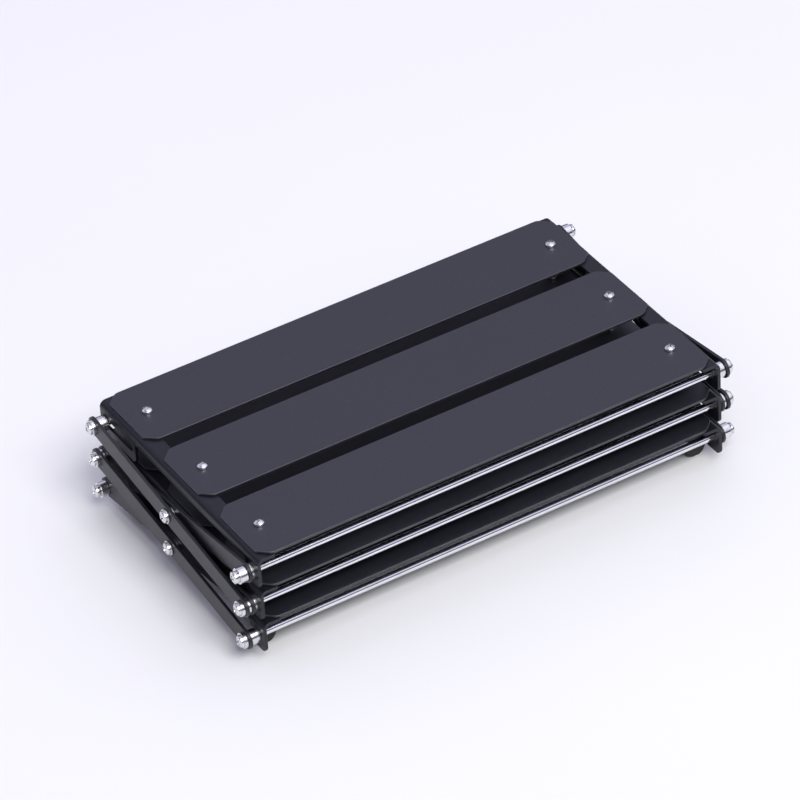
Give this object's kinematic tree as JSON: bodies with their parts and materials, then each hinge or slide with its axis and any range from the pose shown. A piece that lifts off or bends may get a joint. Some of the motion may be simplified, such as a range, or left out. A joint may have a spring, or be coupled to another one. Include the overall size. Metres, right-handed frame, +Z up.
{
  "type": "folding tiered display rack",
  "caption": "Collapsible slatted rack whose tiers fold flat on scissor arms outside both ends, with round cross rods and rubber feet.",
  "frame": {"origin": "on the floor under the middle of the folded rack", "axes": "+X along the slats, +Y to the rear where the arms slide, +Z up"},
  "size_m": [0.4136, 0.222, 0.0951],
  "materials": {
    "slat_coating": "satin black powder coat",
    "bracket_coating": "satin black powder coat",
    "arm_coating": "satin black powder coat",
    "rod_chrome": "polished chrome",
    "fastener_zinc": "bright plated",
    "rubber": "matt"
  },
  "bodies": {
    "base_tier": {"base_slat_front": "slat_coating", "base_slat_middle": "slat_coating", "base_slat_rear": "slat_coating", "base_bracket_left": "bracket_coating", "base_bracket_right": "bracket_coating", "rubber_feet": "rubber", "base_slat_screws": "fastener_zinc", "base_slat_nuts": "fastener_zinc", "base_front_rod": "rod_chrome", "base_front_rod_screws": "fastener_zinc", "base_front_rod_washers": "fastener_zinc", "base_front_spacers": "fastener_zinc"},
    "lower_rising_arms": {"middle_rear_rod": "rod_chrome", "middle_rear_rod_screws": "fastener_zinc", "middle_rear_rod_washers": "fastener_zinc", "lower_rising_arm_left": "arm_coating", "lower_rising_arm_right": "arm_coating"},
    "lower_falling_arms": {"base_rear_rod": "rod_chrome", "base_rear_rod_screws": "fastener_zinc", "base_rear_rod_washers": "fastener_zinc", "base_rear_spacers": "fastener_zinc", "lower_falling_arm_left": "arm_coating", "lower_falling_arm_right": "arm_coating", "lower_pivot_screws": "fastener_zinc", "lower_pivot_washers": "fastener_zinc"},
    "middle_tier": {"middle_slat_front": "slat_coating", "middle_slat_middle": "slat_coating", "middle_slat_rear": "slat_coating", "middle_bracket_left": "bracket_coating", "middle_bracket_right": "bracket_coating", "middle_slat_screws": "fastener_zinc", "middle_slat_nuts": "fastener_zinc", "middle_front_rod": "rod_chrome", "middle_front_rod_screws": "fastener_zinc", "middle_front_rod_washers": "fastener_zinc"},
    "upper_rising_arms": {"top_rear_rod": "rod_chrome", "top_rear_rod_screws": "fastener_zinc", "top_rear_rod_washers": "fastener_zinc", "top_rear_spacers": "fastener_zinc", "upper_rising_arm_left": "arm_coating", "upper_rising_arm_right": "arm_coating"},
    "upper_falling_arms": {"upper_falling_arm_left": "arm_coating", "upper_falling_arm_right": "arm_coating", "upper_pivot_screws": "fastener_zinc", "upper_pivot_washers": "fastener_zinc"},
    "top_tier": {"top_slat_front": "slat_coating", "top_slat_middle": "slat_coating", "top_slat_rear": "slat_coating", "top_bracket_left": "bracket_coating", "top_bracket_right": "bracket_coating", "top_slat_screws": "fastener_zinc", "top_slat_nuts": "fastener_zinc", "top_front_rod": "rod_chrome", "top_front_rod_screws": "fastener_zinc", "top_front_rod_washers": "fastener_zinc", "top_front_spacers": "fastener_zinc"}
  },
  "joints": [
    {"name": "lower_rising_arms_turn", "type": "hinge", "parent": "base_tier", "child": "lower_rising_arms", "pos_m": [0, -0.101, 0.0192], "axis": [1, 0, 0], "range_deg": [0, 27]},
    {"name": "lower_falling_arms_turn", "type": "hinge", "parent": "lower_rising_arms", "child": "lower_falling_arms", "pos_m": [0, 0.00125, 0.0334], "axis": [1, 0, 0], "range_deg": [-54, 0]},
    {"name": "middle_tier_rise", "type": "hinge", "parent": "lower_falling_arms", "child": "middle_tier", "pos_m": [0, -0.101, 0.0476], "axis": [1, 0, 0], "range_deg": [0, 27]},
    {"name": "upper_rising_arms_turn", "type": "hinge", "parent": "middle_tier", "child": "upper_rising_arms", "pos_m": [0, -0.101, 0.0476], "axis": [1, 0, 0], "range_deg": [0, 27]},
    {"name": "upper_falling_arms_turn", "type": "hinge", "parent": "upper_rising_arms", "child": "upper_falling_arms", "pos_m": [0, 0.00125, 0.0618], "axis": [1, 0, 0], "range_deg": [-54, 0]},
    {"name": "top_tier_rise", "type": "hinge", "parent": "upper_falling_arms", "child": "top_tier", "pos_m": [0, -0.101, 0.076], "axis": [1, 0, 0], "range_deg": [0, 27]}
  ],
  "couplings": [
    {"joint": "lower_falling_arms_turn", "follows": "lower_rising_arms_turn", "ratio": -2},
    {"joint": "middle_tier_rise", "follows": "lower_rising_arms_turn", "ratio": 1},
    {"joint": "upper_rising_arms_turn", "follows": "lower_rising_arms_turn", "ratio": 1},
    {"joint": "upper_falling_arms_turn", "follows": "lower_rising_arms_turn", "ratio": -2},
    {"joint": "top_tier_rise", "follows": "lower_rising_arms_turn", "ratio": 1}
  ]
}
